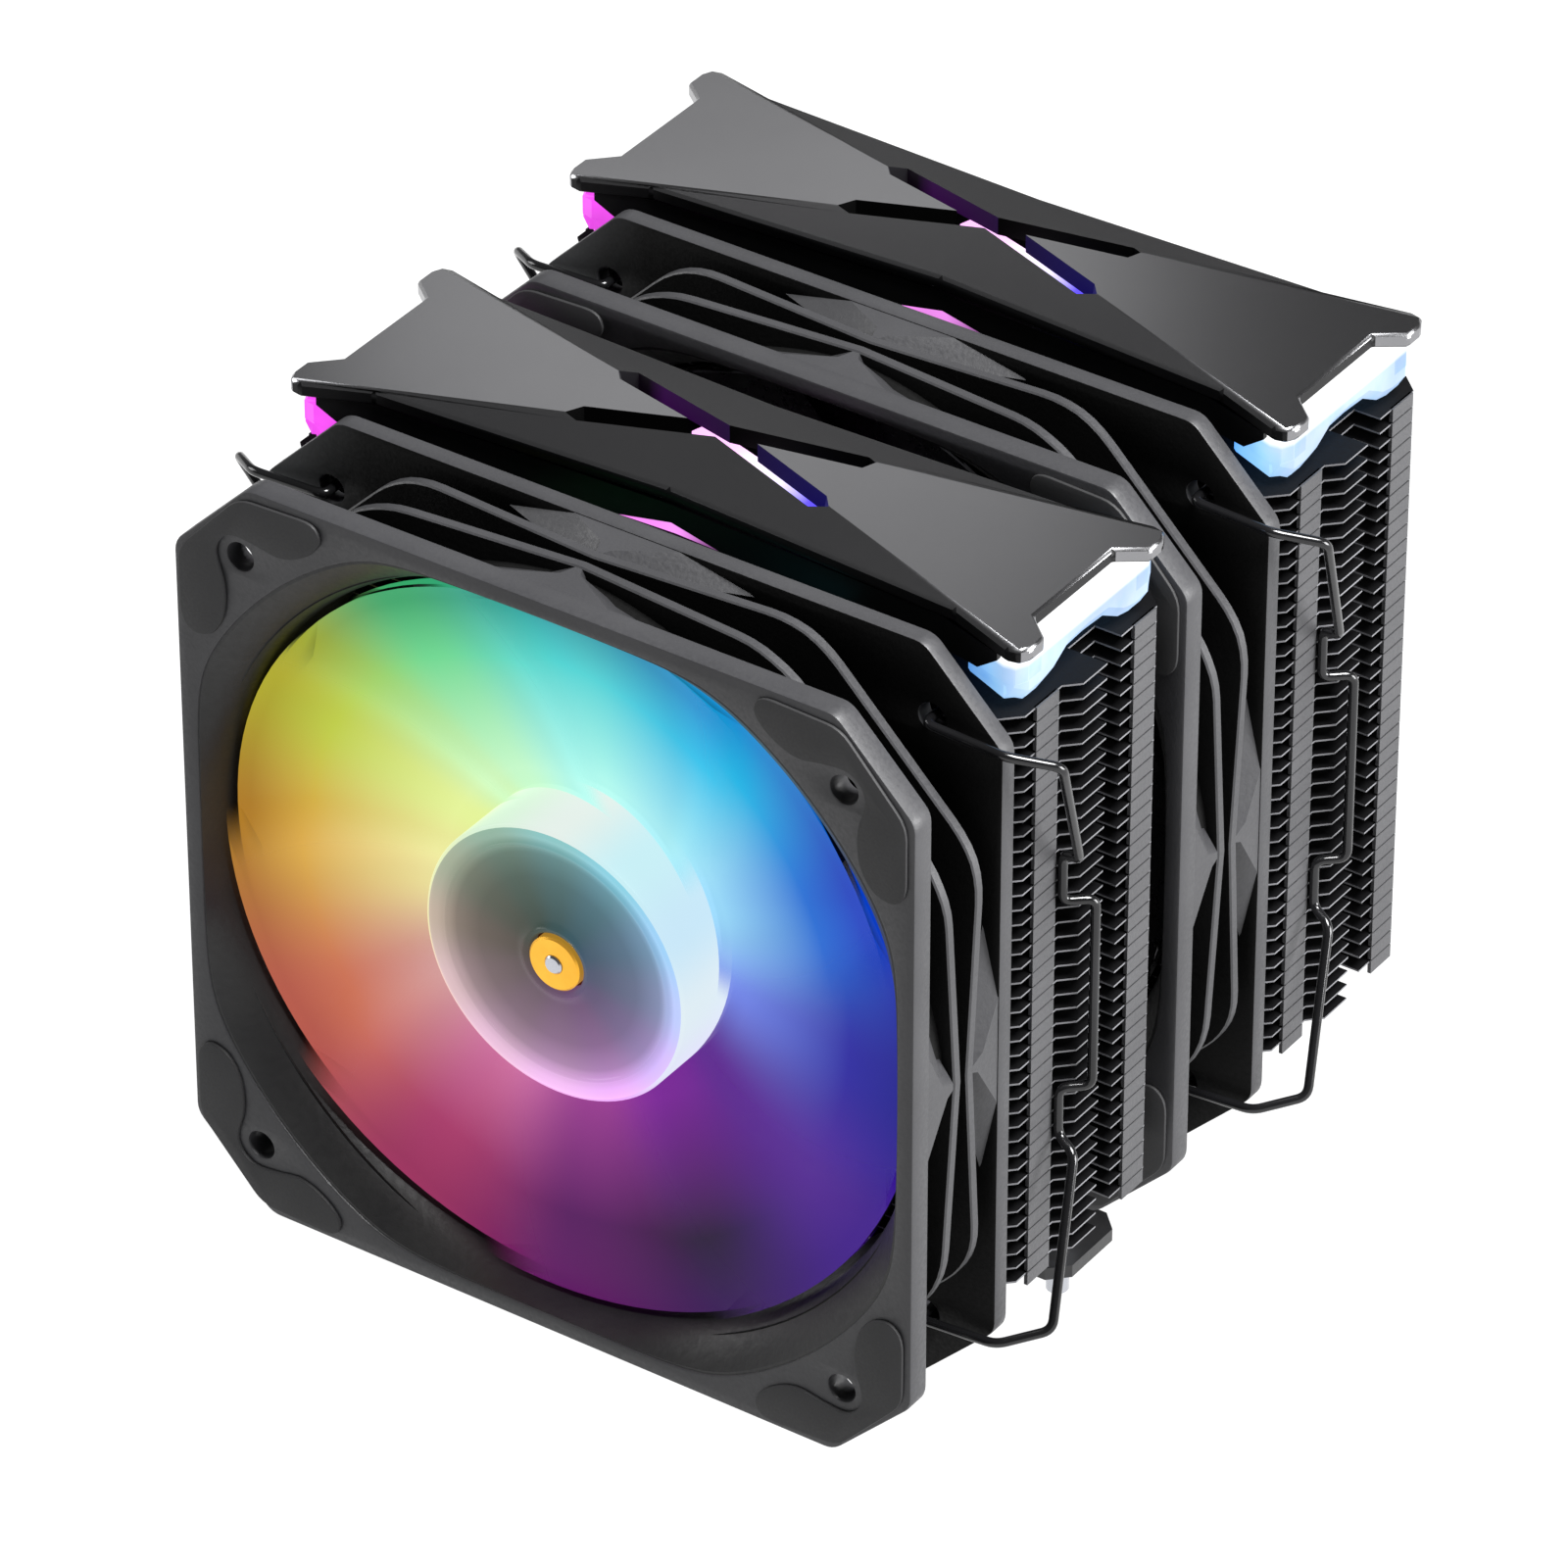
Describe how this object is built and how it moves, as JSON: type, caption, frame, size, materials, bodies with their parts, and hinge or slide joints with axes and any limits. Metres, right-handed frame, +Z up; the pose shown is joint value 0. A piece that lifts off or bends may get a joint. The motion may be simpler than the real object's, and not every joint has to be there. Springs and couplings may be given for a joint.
{
  "type": "cpu tower cooler",
  "caption": "Twin-tower air cooler for a processor: heat pipes rise from a flat base through two fin stacks, with wire-clipped frame fans and faceted lit top covers.",
  "frame": {"origin": "centre of the cold plate's contact face", "axes": "+Z up, away from the processor; +Y the way the air flows, from the front fan to the rear tower; +X along the width of the fans"},
  "size_m": [0.146, 0.1369, 0.1617],
  "materials": {
    "frame_plastic": "fine-grained black moulding",
    "pad_rubber": "matt dark grey",
    "black_fins": "black coating, bright worn edges",
    "pipe_plating": "black nickel plating over copper",
    "cover_metal": "satin dark grey anodising",
    "clear_acrylic": "milky clear, lit from inside",
    "blade_plastic": "frosted translucent, lit from inside",
    "brass": "turned",
    "bright_steel": "bright",
    "black_wire": "black spring wire",
    "nickel_plate": "nickel plate over copper",
    "bar_paint": "black",
    "board": "printed circuit board",
    "winding": "steel core with copper windings",
    "magnet": "rubber-bonded magnet"
  },
  "bodies": {
    "cooler": {"front_fan_frame": "frame_plastic", "front_fan_front_pad_upper_right": "pad_rubber", "front_fan_rear_pad_upper_right": "pad_rubber", "front_fan_front_pad_lower_right": "pad_rubber", "front_fan_rear_pad_lower_right": "pad_rubber", "front_fan_front_pad_lower_left": "pad_rubber", "front_fan_rear_pad_lower_left": "pad_rubber", "front_fan_front_pad_upper_left": "pad_rubber", "front_fan_rear_pad_upper_left": "pad_rubber", "front_fan_bearing_sleeve": "brass", "front_fan_stator": "winding", "front_fan_circuit_board": "board", "middle_fan_frame": "frame_plastic", "middle_fan_front_pad_upper_right": "pad_rubber", "middle_fan_rear_pad_upper_right": "pad_rubber", "middle_fan_front_pad_lower_right": "pad_rubber", "middle_fan_rear_pad_lower_right": "pad_rubber", "middle_fan_front_pad_lower_left": "pad_rubber", "middle_fan_rear_pad_lower_left": "pad_rubber", "middle_fan_front_pad_upper_left": "pad_rubber", "middle_fan_rear_pad_upper_left": "pad_rubber", "middle_fan_bearing_sleeve": "brass", "middle_fan_stator": "winding", "middle_fan_circuit_board": "board", "front_fin_stack": "black_fins", "front_top_cover": "cover_metal", "front_light_guide": "clear_acrylic", "front_led_board": "board", "rear_fin_stack": "black_fins", "rear_top_cover": "cover_metal", "rear_light_guide": "clear_acrylic", "rear_led_board": "board", "heat_pipe_1": "pipe_plating", "heat_pipe_2": "pipe_plating", "heat_pipe_3": "pipe_plating", "heat_pipe_4": "pipe_plating", "heat_pipe_5": "pipe_plating", "heat_pipe_6": "pipe_plating", "cold_plate": "nickel_plate", "base_cap": "black_fins", "mounting_bar": "bar_paint", "mount_spring_left": "bright_steel", "mount_spring_right": "bright_steel"},
    "front_rotor": {"front_fan_impeller": "blade_plastic", "front_fan_magnet_ring": "magnet", "front_fan_hub_bushing": "brass", "front_fan_rotor_shaft": "bright_steel"},
    "front_clip_left": {"front_fan_clip_left": "black_wire"},
    "front_clip_right": {"front_fan_clip_right": "black_wire"},
    "middle_rotor": {"middle_fan_impeller": "blade_plastic", "middle_fan_magnet_ring": "magnet", "middle_fan_hub_bushing": "brass", "middle_fan_rotor_shaft": "bright_steel"},
    "middle_clip_left": {"middle_fan_clip_left": "black_wire"},
    "middle_clip_right": {"middle_fan_clip_right": "black_wire"},
    "washer_left": {"mount_washer_left": "bright_steel"},
    "screw_left": {"mount_screw_left": "bright_steel"},
    "washer_right": {"mount_washer_right": "bright_steel"},
    "screw_right": {"mount_screw_right": "bright_steel"}
  },
  "joints": [
    {"name": "front_rotor_spin", "type": "hinge", "parent": "cooler", "child": "front_rotor", "pos_m": [0, -0.0687, 0.093], "axis": [0, 1, 0], "continuous": true},
    {"name": "middle_rotor_spin", "type": "hinge", "parent": "cooler", "child": "middle_rotor", "pos_m": [0, 0.0013, 0.093], "axis": [0, 1, 0], "continuous": true},
    {"name": "front_clip_left_swing", "type": "hinge", "parent": "cooler", "child": "front_clip_left", "pos_m": [-0.0525, -0.0576, 0.093], "axis": [0, 0, 1], "range_deg": [0, 30], "stiffness_Nm_per_rad": 0.02},
    {"name": "front_clip_right_swing", "type": "hinge", "parent": "cooler", "child": "front_clip_right", "pos_m": [0.0525, -0.0576, 0.093], "axis": [0, 0, -1], "range_deg": [0, 30], "stiffness_Nm_per_rad": 0.02},
    {"name": "middle_clip_left_swing", "type": "hinge", "parent": "cooler", "child": "middle_clip_left", "pos_m": [-0.0525, 0.0124, 0.093], "axis": [0, 0, 1], "range_deg": [0, 30], "stiffness_Nm_per_rad": 0.02},
    {"name": "middle_clip_right_swing", "type": "hinge", "parent": "cooler", "child": "middle_clip_right", "pos_m": [0.0525, 0.0124, 0.093], "axis": [0, 0, -1], "range_deg": [0, 30], "stiffness_Nm_per_rad": 0.02},
    {"name": "screw_left_press", "type": "slide", "parent": "cooler", "child": "washer_left", "axis": [0, 0, -1], "range_m": [0, 0.004], "stiffness_N_per_m": 4000, "deforming": ["mount_spring_left"]},
    {"name": "screw_left_turn", "type": "hinge", "parent": "washer_left", "child": "screw_left", "pos_m": [-0.0375, 0, 0.0235], "axis": [0, 0, 1], "continuous": true},
    {"name": "screw_right_press", "type": "slide", "parent": "cooler", "child": "washer_right", "axis": [0, 0, -1], "range_m": [0, 0.004], "stiffness_N_per_m": 4000, "deforming": ["mount_spring_right"]},
    {"name": "screw_right_turn", "type": "hinge", "parent": "washer_right", "child": "screw_right", "pos_m": [0.0375, 0, 0.0235], "axis": [0, 0, 1], "continuous": true}
  ]
}
